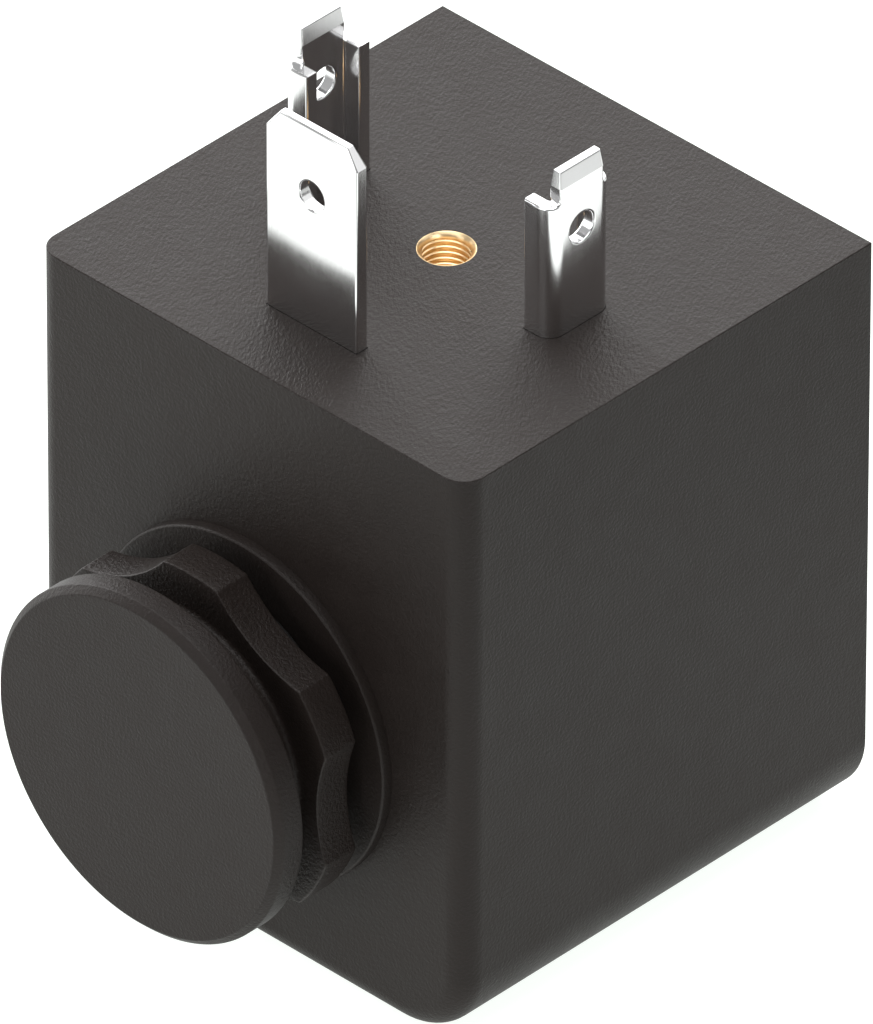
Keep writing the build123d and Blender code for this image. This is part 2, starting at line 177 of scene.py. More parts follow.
def tint(colour, times):
    """Darker or lighter version of a colour."""
    return tuple(channel * times for channel in colour)


# %% [markdown]
# The block, the nut and the disc cover are black polyamide with glass fibre. Light falls into the
# fine spark-eroded texture of the surface, so it looks dark grey and slightly brown, never deep
# black. Two sizes of noise make that texture: wide patches change the colour and the gloss a
# little, and a fine grain goes into the bump. The plug face is coarser, and its grain is drawn out
# along the flow of the plastic. Everything above a given height gets that second grain.

# %% Mouldings
flow_angle, flow_length, flow_fineness = math.radians(36), 2.1, 0.8
colour_spread, patch_share, wrinkle_share, specks_a_grain = 0.25, 0.6, 0.75, 3
dulled_by_patches, dulled_by_specks, plastic_shine = 0.12, 0.16, 0.205


def moulding(name, colour, gloss_patch, grain, grain_depth, roughness, flow_above=None,
             flow_strength=1.0):
    finish = Finish(name)
    patches = finish.noise(gloss_patch, detail=3.0)
    wrinkles = finish.noise(grain)
    specks = finish.noise(grain / specks_a_grain, detail=1.0)
    if flow_above:
        flow = finish.noise(grain * flow_fineness, place=finish.drawn_out(flow_length, flow_angle))
        height = finish.node("ShaderNodeSeparateXYZ", {}, {0: finish.place}, out="Z")
        on_top = finish.maths("GREATER_THAN", height, flow_above)
        wrinkles = wrinkles + on_top * (flow * flow_strength - wrinkles)
    return finish.close(
        finish.between(patches * patch_share + specks * (1 - patch_share),
                       tint(colour, 1 - colour_spread), tint(colour, 1 + colour_spread)),
        roughness + (patches - 0.5) * dulled_by_patches + (specks - 0.5) * dulled_by_specks,
        finish.relief(wrinkles * wrinkle_share + specks * (1 - wrinkle_share), grain_depth),
        Specular_IOR_Level=plastic_shine)


block_black = moulding("housing_black_grained", (0.0145, 0.0105, 0.009), gloss_patch=1.6 * mm,
                       grain=0.17 * mm, grain_depth=0.045 * mm, roughness=0.5,
                       flow_above=20.5 * mm, flow_strength=2.1)
nut_black = moulding("nut_black_grained", (0.0155, 0.0112, 0.0096), gloss_patch=1.2 * mm,
                     grain=0.19 * mm, grain_depth=0.068 * mm, roughness=0.46)
cover_black = moulding("cover_black_matt", (0.0145, 0.0107, 0.0094), gloss_patch=1.4 * mm,
                       grain=0.18 * mm, grain_depth=0.055 * mm, roughness=0.52)
carrier_black = moulding("carrier_black", (0.022, 0.021, 0.02), gloss_patch=1.0 * mm,
                         grain=0.15 * mm, grain_depth=0.01 * mm, roughness=0.5)
spool_natural = moulding("spool_natural", (0.56, 0.53, 0.45), gloss_patch=1.0 * mm,
                         grain=0.12 * mm, grain_depth=0.01 * mm, roughness=0.42)


# %% [markdown]
# The contacts are stamped from rolled strip and tinned. They mirror the room, but the rolling
# leaves very fine lines along the strip, and the tin is a little cloudy. So the gloss varies
# softly, and a weak bump is drawn out along Z, the way the strip runs. Brass, steel, solder and
# copper are made the same way: only the colour, the clouds and the lines differ.

# %% Metals
dulled_by_lines = 0.08


def metal(name, colour, cloud, cloudiness, line, line_depth, roughness, along=(1, 1, 1),
          coat=0.0):
    finish = Finish(name)
    clouds = finish.noise(cloud, detail=3.0)
    lines = finish.noise(line, place=finish.stretched(*along))
    return finish.close(
        finish.between(clouds, tint(colour, 1 - cloudiness), colour),
        roughness + (clouds - 0.5) * cloudiness + (lines - 0.5) * dulled_by_lines,
        finish.relief(lines, line_depth), Metallic=1.0, Coat_Weight=coat)


tinned = metal("tinned_strip", (0.9, 0.9, 0.905), cloud=1.5 * mm, cloudiness=0.06,
               line=0.09 * mm, line_depth=0.0012 * mm, roughness=0.165, along=(1, 1, 0.06))
brass = metal("turned_brass", (1.0, 0.76, 0.45), cloud=0.8 * mm, cloudiness=0.06,
              line=0.06 * mm, line_depth=0.0004 * mm, roughness=0.33, along=(1, 1, 0.15))
yoke_steel = metal("yoke_steel_blanked", (0.56, 0.56, 0.58), cloud=3.0 * mm, cloudiness=0.18,
                   line=0.15 * mm, line_depth=0.004 * mm, roughness=0.36, along=(1, 0.08, 0.08))
bush_steel = metal("bush_steel_turned", (0.6, 0.6, 0.61), cloud=2.0 * mm, cloudiness=0.12,
                   line=0.08 * mm, line_depth=0.003 * mm, roughness=0.3, along=(0.1, 1, 0.1))
rivet_steel = metal("rivet_steel_headed", (0.66, 0.65, 0.63), cloud=0.8 * mm, cloudiness=0.12,
                    line=0.1 * mm, line_depth=0.002 * mm, roughness=0.28)
solder_tin = metal("solder_cooled", (0.78, 0.78, 0.8), cloud=0.7 * mm, cloudiness=0.2,
                   line=0.25 * mm, line_depth=0.01 * mm, roughness=0.3)
winding_copper = metal("enamelled_copper", (0.86, 0.36, 0.16), cloud=1.2 * mm, cloudiness=0.2,
                       line=0.1 * mm, line_depth=0.001 * mm, roughness=0.26, along=(1, 0.2, 1),
                       coat=0.6)
lead_copper = metal("lead_copper_tinned_end", (0.85, 0.42, 0.24), cloud=0.9 * mm,
                    cloudiness=0.25, line=0.08 * mm, line_depth=0.001 * mm, roughness=0.3)


# %% [markdown]
# Two soft finishes are left. Seal rubber is darker and duller than the mouldings and has a dusty
# bloom. The tape on the winding is a thin yellow film that shows where it laps over itself. They
# have little in common, so each gets a function of its own.

# %% Rubber and tape
def seal_rubber():
    bloom_size, pore_size, pore_depth = 0.8 * mm, 0.09 * mm, 0.01 * mm
    clean, dusty = (0.009, 0.009, 0.009), (0.02, 0.02, 0.021)
    roughness, dulled_by_bloom = 0.62, 0.2
    finish = Finish("seal_rubber_black")
    bloom = finish.noise(bloom_size, detail=4.0)
    pores = finish.noise(pore_size)
    return finish.close(finish.between(bloom, clean, dusty),
                        roughness + (bloom - 0.5) * dulled_by_bloom,
                        finish.relief(pores, pore_depth))


def winding_film():
    haze_size, lap_width, lap_height, lap_share = 1.5 * mm, 0.9 * mm, 0.02 * mm, 0.6
    deep_yellow, pale_yellow = (0.52, 0.36, 0.05), (0.74, 0.56, 0.12)
    roughness, dulled_by_haze = 0.26, 0.16
    finish = Finish("winding_tape_film")
    haze = finish.noise(haze_size)
    laps = finish.noise(lap_width, detail=1.0, place=finish.stretched(0.05, 1, 0.05))
    return finish.close(
        finish.between(laps * lap_share + haze * (1 - lap_share), deep_yellow, pale_yellow),
        roughness + (haze - 0.5) * dulled_by_haze, finish.relief(laps, lap_height))


rubber = seal_rubber()
film = winding_film()


# %% [markdown]
# A finished piece rides on the body that the CAD node belongs to, takes the node's place and its
# material slot, and sits at the origin with its place in its mesh. One helper says all of that, so
# that no piece forgets a part of it.

# %% Put a piece in a node's place
node_bodies = {node: body for body, nodes in frame["record"]["behaviour"]["bodies"].items()
               for node in nodes}


def in_scene(name, data):
    """Object with that data, linked into the scene."""
    thing = bpy.data.objects.new(name, data)
    bpy.context.scene.collection.objects.link(thing)
    return thing


def stand_in(name, mesh, material, node):
    mesh.name = name
    mesh.materials.clear()
    mesh.materials.append(material)
    piece = in_scene(name, mesh)
    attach(piece, node_bodies[node])
    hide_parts(node)
    print(f"{name}: {len(mesh.polygons)} faces in place of {node}")
    return piece


# %% [markdown]
# A finished piece here is a plain mesh. Modifiers work on a holder, and their result is taken from
# it, so that the mesh holds just what the render shows. Smooth shading alone makes flat faces
# look dented next to small ones. Weighted normals keep the wide flat faces flat to the light.

# %% Plain meshes and their shading
def baked(holder):
    """Plain mesh of an object as its modifiers leave it."""
    bpy.context.view_layer.update()
    seen = holder.evaluated_get(bpy.context.evaluated_depsgraph_get())
    mesh = bpy.data.meshes.new_from_object(seen)
    holder.modifiers.clear()
    return mesh


def settle(mesh, smooth_angle=40):
    """Smooth shading between gentle bends, with normals led by the large faces."""
    shape = bmesh.new()
    shape.from_mesh(mesh)
    for face in shape.faces:
        face.smooth = True
    for edge in shape.edges:
        edge.smooth = edge.calc_face_angle(0) < math.radians(smooth_angle)
    shape.to_mesh(mesh)
    shape.free()
    holder = in_scene("normals", mesh)
    weights = holder.modifiers.new("weights", "WEIGHTED_NORMAL")
    weights.keep_sharp = True
    ready = baked(holder)
    bpy.data.objects.remove(holder)
    return ready


# %% [markdown]
# Real edges are never razor sharp. A moulded edge has a tiny radius that catches the light as a
# thin line, and so has a stamped one. The CAD meshes are loose triangles, so a copy is merged and
# its flat faces are joined first. Then only the edges that a test picks are bevelled.

# %% Copy a CAD node with softened edges
same_point, flat_angle, least_bend = 0.0005, 0.5, 35


def softened_copy(node, width, picked):
    shape = bmesh.new()
    shape.from_mesh(frame["nodes"][node].data)
    bmesh.ops.remove_doubles(shape, verts=shape.verts, dist=same_point * mm)
    bmesh.ops.dissolve_limit(shape, angle_limit=math.radians(flat_angle), verts=shape.verts,
                             edges=shape.edges)
    edges = [edge for edge in shape.edges
             if edge.is_manifold and edge.calc_face_angle() > math.radians(least_bend)
             and all(picked(*(vert.co / mm)) for vert in edge.verts)]
    bmesh.ops.bevel(shape, geom=edges, offset=width, offset_type="WIDTH", segments=1,
                    profile=0.5, affect="EDGES", clamp_overlap=True)
    mesh = bpy.data.meshes.new(node)
    shape.to_mesh(mesh)
    shape.free()
    print(f"{node}: {len(edges)} edges softened by {width / mm:.2f} mm")
    return settle(mesh)


# %% [markdown]
# The housing keeps its CAD shape. Only the outer edges of the plug face and of the rear face, the
# rim of the boss and the mouths of the bore are softened. The narrow slots round the contacts stay
# sharp, because the plastic was moulded against the metal there.

# %% Housing
body_half_width, body_depth, plug_face_z, boss_front_y = 15.0, 29.5, 20.6, -30.15
broken_edge, near, rim_width, boss_lip = 0.07, 0.02, 1.5, 0.15


def housing_rim(x, y, z):
    outside = (abs(x) > body_half_width - rim_width or y > -near
               or y < -body_depth + rim_width)
    on_plug_face = abs(z - plug_face_z) < near and outside
    on_rear_face = abs(y) < near
    on_boss = abs(y - boss_front_y) < boss_lip
    return on_plug_face or on_rear_face or on_boss


stand_in("housing_moulding", softened_copy("housing", broken_edge * mm, housing_rim),
         block_black, "housing")

# %% [markdown]
# The nut, the cover, the seals and the brass insert are turned shapes. Each starts as an outline
# of corner points: distance from the axis, place along the axis, and the radius that rounds the
# corner. Two places that are less than a hair apart count as one.

# %% Outlines
hair = 0.001


def rounded(corners, steps=5):
    """Outline whose corners are small arcs. A corner is (radius, along, rounding)."""
    outline = []
    for index, (radius, along, rounding) in enumerate(corners):
        here = Vector((radius, along))
        if not rounding:
            outline.append(here)
            continue
        back = (Vector(corners[index - 1][:2]) - here).normalized()
        ahead = (Vector(corners[(index + 1) % len(corners)][:2]) - here).normalized()
        half_angle = back.angle(ahead) / 2
        centre = here + (back + ahead).normalized() * rounding / math.sin(half_angle)
        reach = rounding / math.tan(half_angle)
        first, last = here + back * reach - centre, here + ahead * reach - centre
        outline += [centre + first.slerp(last, step / steps).normalized() * rounding
                    for step in range(steps + 1)]
    return outline


def with_rows(outline, bore, spacing, rest):
    """The same outline with extra points: close together on the bore and wider on the rest."""
    finer = []
    for first, last in zip(outline, outline[1:] + outline[:1]):
        on_bore = abs(first[0] - bore) < hair and abs(last[0] - bore) < hair
        rows = max(1, round((last - first).length / (spacing if on_bore else rest)))
        finer += [first.lerp(last, row / rows) for row in range(rows)]
    return finer


# %% [markdown]
# The outline is then carried round the axis. A screw modifier could do that as well, but here the
# steps round the axis can be uneven, and each point gets its shares as it is made. The result is a
# clean grid of faces that Geometry Nodes can shape further.

# %% Turned meshes
def even_angles(count):
    return [2 * math.pi * step / count for step in range(count)]


def turned(name, outline, angles, marks=None):
    """Mesh round the Z axis. Points on the axis become poles. Marks are named shares of a point."""
    shape = bmesh.new()
    layers = {mark: shape.verts.layers.float.new(mark) for mark in marks or {}}
    rings = []
    for radius, along in outline:
        ring = []
        for angle in angles[:1] if radius < hair else angles:
            vert = shape.verts.new(Vector((radius * math.cos(angle), radius * math.sin(angle),
                                           along)) * mm)
            for mark, share in (marks or {}).items():
                vert[layers[mark]] = share(radius, along)
            ring.append(vert)
        rings.append(ring)
    for first, last in zip(rings, rings[1:] + rings[:1]):
        if len(first) == len(last) == 1:
            continue
        for step in range(len(angles)):
            after = (step + 1) % len(angles)
            loop = [first[step % len(first)], first[after % len(first)],
                    last[after % len(last)], last[step % len(last)]]
            shape.faces.new(list(dict.fromkeys(loop)))
    bmesh.ops.recalc_face_normals(shape, faces=shape.faces)
    mesh = bpy.data.meshes.new(name)
    shape.to_mesh(mesh)
    shape.free()
    return mesh


# Lays down a mesh that was turned round the Z axis, with its height pointing forwards.
forwards = Matrix(((1, 0, 0, 0), (0, 0, -1, 0), (0, 1, 0, 0), (0, 0, 0, 1)))


# %% [markdown]
# Screw threads, grip scallops and ribs follow a rule, so Geometry Nodes shape them. A tree gets a
# turned mesh and moves each point towards or away from the axis. How far depends on its angle and
# its place along the axis. A named share on the points, from 0 to 1, says where the rule holds,
# and lets a thread fade out at its ends. The bends of the contacts are rules of the same kind.

# %% A Geometry Nodes tree with named sizes
class ShapeRule(Tree):
    def __init__(self, name):
        super().__init__(bpy.data.node_groups.new(name, "GeometryNodeTree"))
        self.tree.is_modifier = True
        self.add_socket("Geometry", "INPUT", "NodeSocketGeometry")
        self.add_socket("Finish", "INPUT", "NodeSocketMaterial")
        self.add_socket("Geometry", "OUTPUT", "NodeSocketGeometry")
        self.group = self.tree.nodes.new("NodeGroupInput")
        self.geometry = Wire(self, self.group.outputs["Geometry"])

    def add_socket(self, name, way, kind):
        return self.tree.interface.new_socket(name, in_out=way, socket_type=kind)

    def size(self, name):
        self.add_socket(name, "INPUT", "NodeSocketFloat")
        return Wire(self, self.group.outputs[name])

    def share(self, name):
        return self.node("GeometryNodeInputNamedAttribute", {"data_type": "FLOAT"},
                         {"Name": name}, out="Attribute")

    def limited(self, value, highest=1.0):
        """The same value, but never below 0 or above the highest."""
        return self.maths("MINIMUM", self.maths("MAXIMUM", value, 0.0), highest)

    def axes(self):
        """X, Y and Z of the points."""
        split = self.node("ShaderNodeSeparateXYZ", {}, {0: self.node("GeometryNodeInputPosition")})
        return [Wire(self, output) for output in split.socket.node.outputs]

    def radius_and_turn(self, x, y):
        """Distance of the points from the axis, and their turn round it."""
        return self.maths("SQRT", x * x + y * y), self.maths("ARCTAN2", y, x)

    def place(self, x, y, z):
        """Puts the points at new places."""
        position = self.node("ShaderNodeCombineXYZ", {}, {0: x, 1: y, 2: z})
        self.geometry = self.node("GeometryNodeSetPosition", {},
                                  {"Geometry": self.geometry, "Position": position})

    def move_outwards(self, x, y, z, radius, distance):
        """Shifts the points away from the axis by that distance."""
        self.place(x + x / radius * distance, y + y / radius * distance, z)

    def close(self):
        """Ends the tree with real geometry and its finish."""
        real = self.node("GeometryNodeRealizeInstances", {}, {0: self.geometry})
        done = self.node("GeometryNodeSetMaterial", {},
                         {"Geometry": real,
                          "Material": Wire(self, self.group.outputs["Finish"])})
        output = self.tree.nodes.new("NodeGroupOutput")
        self.tree.links.new(done.socket, output.inputs["Geometry"])
        print(f"rule {self.tree.name}: {len(self.tree.nodes)} nodes")
        return self.tree


# %% [markdown]
# A modifier applies a rule to a mesh. Its inputs are set by the identifiers of their sockets,
# because a modifier doesn't know them by name.

# %% Shape a mesh with a rule
def follow(mesh, rule, material, **sizes):
    """Plain mesh that a rule has shaped. An underscore stands for a space in a size's name."""
    holder = in_scene("shaped", mesh)
    modifier = holder.modifiers.new("rule", "NODES")
    modifier.node_group = rule
    sockets = {item.name: item.identifier for item in rule.interface.items_tree
               if item.in_out == "INPUT"}
    modifier[sockets["Finish"]] = material
    for name, value in sizes.items():
        modifier[sockets[name.replace("_", " ")]] = value
    shaped = baked(holder)
    bpy.data.objects.remove(holder)
    return shaped


# %% [markdown]
# A contact is made the way a press makes it: a flat blank has its tip pressed thinner and is then
# bent. Two rules do this. Bending keeps the length along the middle of the sheet, so the rule
# counts the turn there. The bend can be held off beyond a height, which keeps the tongue of a
# power contact flat.

# %% Rules of pressing and bending
def tip_rule():
    rule = ShapeRule("pressed_tip")
    start, length, thinning = rule.size("Start"), rule.size("Length"), rule.size("Thinning")
    x, y, z = rule.axes()
    rule.place(x, y, z * (1.0 - thinning * rule.limited((y - start) / length)))
    return rule.close()


def bend_rule():
    rule = ShapeRule("bent_strip")
    flat, bend, sheet = rule.size("Flat length"), rule.size("Bend radius"), rule.size("Sheet")
    hold_from, hold_over, held = rule.size("Hold from"), rule.size("Hold over"), rule.size("Held")
    x, y, z = rule.axes()
    flat = flat + held * rule.limited((y - hold_from) / hold_over)
    middle = bend - sheet / 2
    along = rule.maths("ABSOLUTE", x)
    turn = rule.limited((along - flat) / middle, math.pi / 2)
    beyond = rule.maths("MAXIMUM", along - flat - middle * (math.pi / 2), 0.0)
    reach = middle + z
    across = rule.maths("MINIMUM", along, flat) + reach * rule.maths("SINE", turn)
    rule.place(rule.maths("SIGN", x) * across, y,
               reach * rule.maths("COSINE", turn) - bend - beyond)
    return rule.close()


pressed_tip, bent_strip = tip_rule(), bend_rule()


# %% [markdown]
# The blank is a filled curve with a bevel. That gives the plate its outline, its hole and its
# rolled edges at once, where a solid would need a cut and a bevel for each. Cuts across the blank
# add rows of points where it will bend. The rims of the flat faces are marked as sharp, so that
# these mirror the room without a smear.

# %% Stamped blank
contact_sheet, rolled_edge = 0.8, 0.11
bend_rows, hole_steps, edge_steps, corner_angle, weld = 12, 48, 3, 30, 0.0001
across_strip, along_strip = (1, 0, 0), (0, 1, 0)


def round_hole(x, y, radius):
    return [(x + radius * math.cos(2 * math.pi * step / hole_steps),
             y + radius * math.sin(2 * math.pi * step / hole_steps)) for step in range(hole_steps)]


def is_square(face):
    """True for a face that lies flat or stands upright, so not for one of a rolled edge."""
    return round(abs(face.normal.z) / hair) in (0, 1 / hair)


def blank(name, outlines, cuts, crease):
    """Flat plate of contact sheet. A cut is (axis, place): a row of points across the blank. The
    crease, the corners and both sides of the rolled edges are marked as sharp."""
    curve = bpy.data.curves.new(name, "CURVE")
    curve.dimensions, curve.fill_mode, curve.bevel_resolution = "2D", "BOTH", edge_steps
    curve.extrude, curve.bevel_depth = (contact_sheet / 2 - rolled_edge) * mm, rolled_edge * mm
    curve.offset = -rolled_edge * mm
    for outline in outlines:
        spline = curve.splines.new("POLY")
        spline.points.add(len(outline) - 1)
        spline.points.foreach_set("co", [value for x, y in outline
                                         for value in (x * mm, y * mm, 0, 1)])
        spline.use_cyclic_u = True
    holder = in_scene(name, curve)
    mesh = baked(holder)
    bpy.data.objects.remove(holder)
    shape = bmesh.new()
    shape.from_mesh(mesh)
    bmesh.ops.remove_doubles(shape, verts=shape.verts, dist=weld * mm)
    for axis, place in cuts:
        bmesh.ops.bisect_plane(shape, geom=shape.verts[:] + shape.edges[:] + shape.faces[:],
                               plane_co=(place * mm, place * mm, 0), plane_no=axis,
                               dist=weld * mm)
    for edge in shape.edges:
        on_crease = all(abs(vert.co.y / mm - crease) < hair for vert in edge.verts)
        same_kind = len({is_square(face) for face in edge.link_faces}) == 1
        corner = edge.calc_face_angle() > math.radians(corner_angle)
        edge.smooth = same_kind and not corner and not on_crease
    for face in shape.faces:
        face.smooth = True
    shape.to_mesh(mesh)
    shape.free()
    return mesh


def pressed_blank(name, outlines, cuts, top, tip, thinning):
    """Blank whose tip, of that length below the top, is pressed thinner."""
    crease = top - tip
    plate = blank(name, outlines, cuts + [(along_strip, crease)], crease)
    return follow(plate, pressed_tip, tinned, Start=crease * mm, Length=tip * mm,
                  Thinning=thinning)


# %% [markdown]
# The two power contacts are the same channel, turned to face each other. Its sides fold inwards,
# and the narrow tongue on top stays flat. Half of its outline is enough, because the other half is
# the same with X turned round. On the blank, Y stands for the height on the part.

# %% Outline of a power contact
pattern_y, channel_bottom, tail_bottom, web_middle_x = -15.25, 15.0, 9.5, 9.4
shoulder_z, tongue_top, tip_length = plug_face_z + 7.9, plug_face_z + 9.88, 0.96
power_hole_z, power_hole = plug_face_z + 5.95, 0.88
contact_bend, lip_straight, channel_flat, tongue_hold = 0.95, 0.9, 1.35, 0.25
bend_length = (contact_bend - contact_sheet / 2) * math.pi / 2
channel_half = channel_flat + bend_length + lip_straight
tongue_half, tongue_tip_half, tail_half, shoulder_round = 1.55, 1.45, 0.8, 0.15
tip_thinning, arc_middle = 0.4, 0.3 * shoulder_round

half_outline = [
    (tail_half, tail_bottom), (tail_half, channel_bottom), (channel_half, channel_bottom),
    (channel_half, shoulder_z), (tongue_half + shoulder_round, shoulder_z),
    (tongue_half + arc_middle, shoulder_z + arc_middle),
    (tongue_half, shoulder_z + shoulder_round), (tongue_half, tongue_top - tip_length),
    (tongue_tip_half, tongue_top),
]
channel_outline = half_outline + [(-x, z) for x, z in reversed(half_outline)]
channel_cuts = [(across_strip, side * (channel_flat + bend_length * row / bend_rows))
                for side in (-1, 1) for row in range(bend_rows + 1)]
tongue_root, root_rows = 0.4, 4
channel_cuts += [(along_strip, shoulder_z + tongue_root * row / root_rows)
                 for row in range(root_rows + 1)]
print(f"power contact: blank {2 * channel_half:.2f} mm wide, {len(channel_cuts)} cuts")

# %% [markdown]
# Each blank is pressed at its tip, bent, and stood up with its web at the outer side of the part.

# %% Power contacts
for node, side in (("contact_left", -1), ("contact_right", 1)):
    channel = pressed_blank(node, [channel_outline, round_hole(0, power_hole_z, power_hole)],
                            channel_cuts, tongue_top, tip_length, tip_thinning)
    channel = follow(channel, bent_strip, tinned, Flat_length=channel_flat * mm,
                     Bend_radius=contact_bend * mm, Sheet=contact_sheet * mm,
                     Hold_from=shoulder_z * mm, Hold_over=tongue_root * mm,
                     Held=tongue_hold * mm)
    upright_web = Matrix(((0, 0, side, side * web_middle_x * mm), (side, 0, 0, pattern_y * mm),
                          (0, 1, 0, 0), (0, 0, 0, 1)))
    channel.transform(upright_web)
    stand_in(f"{node}_tinned", channel, tinned, node)

# %% [markdown]
# The earth contact is a wide blade with cut corners. Its foot bends back and lies on the yoke
# plate under the plastic. The bend rule works along X, so the blade is laid along X for it, with
# its top at zero, and stood up afterwards. No height of it is held off from the bend, so the hold
# only gets a length that the rule can divide by.

# %% Earth contact
earth_front_y, earth_foot_z, earth_top = -24.98, 13.0, plug_face_z + 12.08
earth_bend, foot_straight, earth_tip_length = 1.2, 4.8, 1.05
earth_half, earth_tip_half, earth_thinning = 3.15, 2.35, 0.425
earth_hole_z, earth_hole, rivet_inset, rivet_hole = plug_face_z + 8.1, 0.86, 2.0, 1.05
earth_flat = earth_top - earth_foot_z - earth_bend
earth_bend_length = (earth_bend - contact_sheet / 2) * math.pi / 2
earth_end = earth_top - earth_flat - earth_bend_length - foot_straight

earth_outline = [(earth_half, earth_end), (earth_half, earth_top - earth_tip_length),
                 (earth_tip_half, earth_top), (-earth_tip_half, earth_top),
                 (-earth_half, earth_top - earth_tip_length), (-earth_half, earth_end)]
earth_cuts = [(along_strip, earth_top - earth_flat - earth_bend_length * row / bend_rows)
              for row in range(bend_rows + 1)]
blade = pressed_blank("earth", [earth_outline, round_hole(0, earth_hole_z, earth_hole),
                                round_hole(0, earth_end + rivet_inset, rivet_hole)],
                      earth_cuts, earth_top, earth_tip_length, earth_thinning)
laid_along_x = Matrix(((0, -1, 0, earth_top * mm), (1, 0, 0, 0), (0, 0, 1, 0), (0, 0, 0, 1)))
blade.transform(laid_along_x)
blade = follow(blade, bent_strip, tinned, Flat_length=earth_flat * mm,
               Bend_radius=earth_bend * mm, Sheet=contact_sheet * mm, Hold_over=1.0)
stood_up = Matrix(((0, 1, 0, 0), (0, 0, -1, earth_front_y * mm), (-1, 0, 0, earth_top * mm),
                   (0, 0, 0, 1)))
blade.transform(stood_up)
stand_in("earth_blade_tinned", blade, tinned, "earth_blade")

# %% [markdown]
# A thread is a ridge that climbs by one pitch a turn. Its phase is the place along the axis in
# pitches, less the turn round the axis, which makes a right-hand thread. Within a pitch the groove
# deepens over the short flank, gets shallower again over the rest, and is rounded at both ends.
# Whole turns are added to the phase, so that it never falls below 0.

# %% Rule of an inner thread
whole_turns = 100.0


def thread_rule():
    rule = ShapeRule("inner_thread")
    pitch, depth, begin = rule.size("Pitch"), rule.size("Depth"), rule.size("Begin")
    flank = rule.size("Flank")
    x, y, z = rule.axes()
    radius, turn = rule.radius_and_turn(x, y)
    phase = rule.maths("FRACT", z / pitch - turn / (2 * math.pi) + begin + whole_turns)
    ramp = rule.maths("MINIMUM", phase / flank, (1.0 - phase) / (1.0 - flank))
    groove = ramp * ramp * (3.0 - 2.0 * ramp)
    rule.move_outwards(x, y, z, radius, groove * depth * rule.share("thread"))
    return rule.close()


def fade(value, low, high, length):
    """Share that is 1 between low and high and falls to 0 within length outside them."""
    inside = min(value - low, high - value) / length + 1
    return max(0.0, min(1.0, inside))


inner_thread = thread_rule()

# %% [markdown]
# The six hollows of the nut's grip are arcs of a circle whose middle lies outside the nut. At each
# turn angle the rule works out where that circle cuts the ray from the axis. A smooth minimum
# with the nut's own radius then rounds the corners between hollow and rim.

# %% Rule of the scalloped grip
def grip_rule():
    rule = ShapeRule("scalloped_grip")
    count, reach, hollow = rule.size("Count"), rule.size("Reach"), rule.size("Hollow radius")
    rim, rounding = rule.size("Rim radius"), rule.size("Rounding")
    x, y, z = rule.axes()
    radius, turn = rule.radius_and_turn(x, y)
    step = 2 * math.pi / count
    fold = rule.maths("FLOORED_MODULO", turn + step / 2, step) - step / 2
    middle = reach + hollow
    across = middle * rule.maths("SINE", fold)
    inside = rule.maths("MAXIMUM", hollow * hollow - across * across, 0.0)
    cut = middle * rule.maths("COSINE", fold) - rule.maths("SQRT", inside)
    edge = rule.maths("SMOOTH_MIN", cut, rim, rounding)
    rule.move_outwards(x, y, z, radius, (edge - rim) * rule.share("grip"))
    return rule.close()


scalloped_grip = grip_rule()


# %% [markdown]
# The coil nut has a scalloped grip for the fingers, a smooth neck with a snap bead for the cover,
# and a fine M12 thread. Its outline starts in the thread and goes round the neck and the grip. The
# steps round the axis are fine only where a hollow meets a tip, which keeps the mesh light.

# %% Outline of the nut
seal_end, nut_front, neck_end = 31.55, 33.75, 36.95
thread_core, thread_depth, thread_pitch, thread_flank = 5.46, 0.5, 1.0, 0.5
thread_start, thread_end, thread_fade = seal_end + 0.9, neck_end - 0.6, 0.4
rows_a_pitch, wide_row, slack = 16, 0.4, 0.01
nut_radius, neck_radius, neck_root = 10.05, 7.6, 7.9
bead_height, bead_half, bead_along = 0.15, 0.2, neck_end - 0.6
scallops, hollow_half, hollow_reach, hollow_radius = 6, math.radians(19.26), 8.87, 9.2
tip_rounding, hollow_steps, tip_steps = 0.08, 24, 14
near_corner = [math.radians(step * 0.35) for step in range(-2, 3)]


def scallop_angles():
    """Wide steps in the hollows and on the tips, and fine ones where a hollow meets a tip."""
    angles = []
    tip_half = math.pi / scallops - hollow_half
    for middle, half, steps in ((0.0, hollow_half, hollow_steps),
                                (math.pi / scallops, tip_half, tip_steps)):
        wide = [middle + half * (2 * step / steps - 1) for step in range(1, steps)]
        angles += [angle for angle in wide if abs(abs(angle - middle) - half) > near_corner[-1]]
        angles += [middle - half + step for step in near_corner]
    return [angle + 2 * math.pi * scallop / scallops for scallop in range(scallops)
            for angle in sorted(angles)]


nut_corners = [
    (thread_core + 0.5, seal_end, 0.05), (thread_core, seal_end + 0.5, 0),
    (thread_core, neck_end, 0.05), (neck_radius, neck_end, 0.12),
    (neck_radius, bead_along + bead_half, 0), (neck_radius + bead_height, bead_along, 0.05),
    (neck_radius, bead_along - bead_half, 0), (neck_radius, nut_front, 0.3),
    (nut_radius, nut_front, 0.1), (nut_radius, seal_end, 0.1),
]
print("nut:", len(nut_corners), "corners,", len(scallop_angles()), "steps round the axis")


# %% [markdown]
# The thread's share is full along the bore and fades out near both mouths. Rows are close enough
# together there to carry the flanks. The grip's share grows from the root of the neck to the rim,
# so the flat faces stay flat while the rim moves in.

# %% Nut
def nut_thread_share(radius, along):
    on_bore = radius < thread_core + slack
    return fade(along, thread_start, thread_end, thread_fade) if on_bore else 0.0


def grip_share(radius, along):
    if along > nut_front + slack:
        return 0.0
    return max(0.0, (radius - neck_root) / (nut_radius - neck_root))


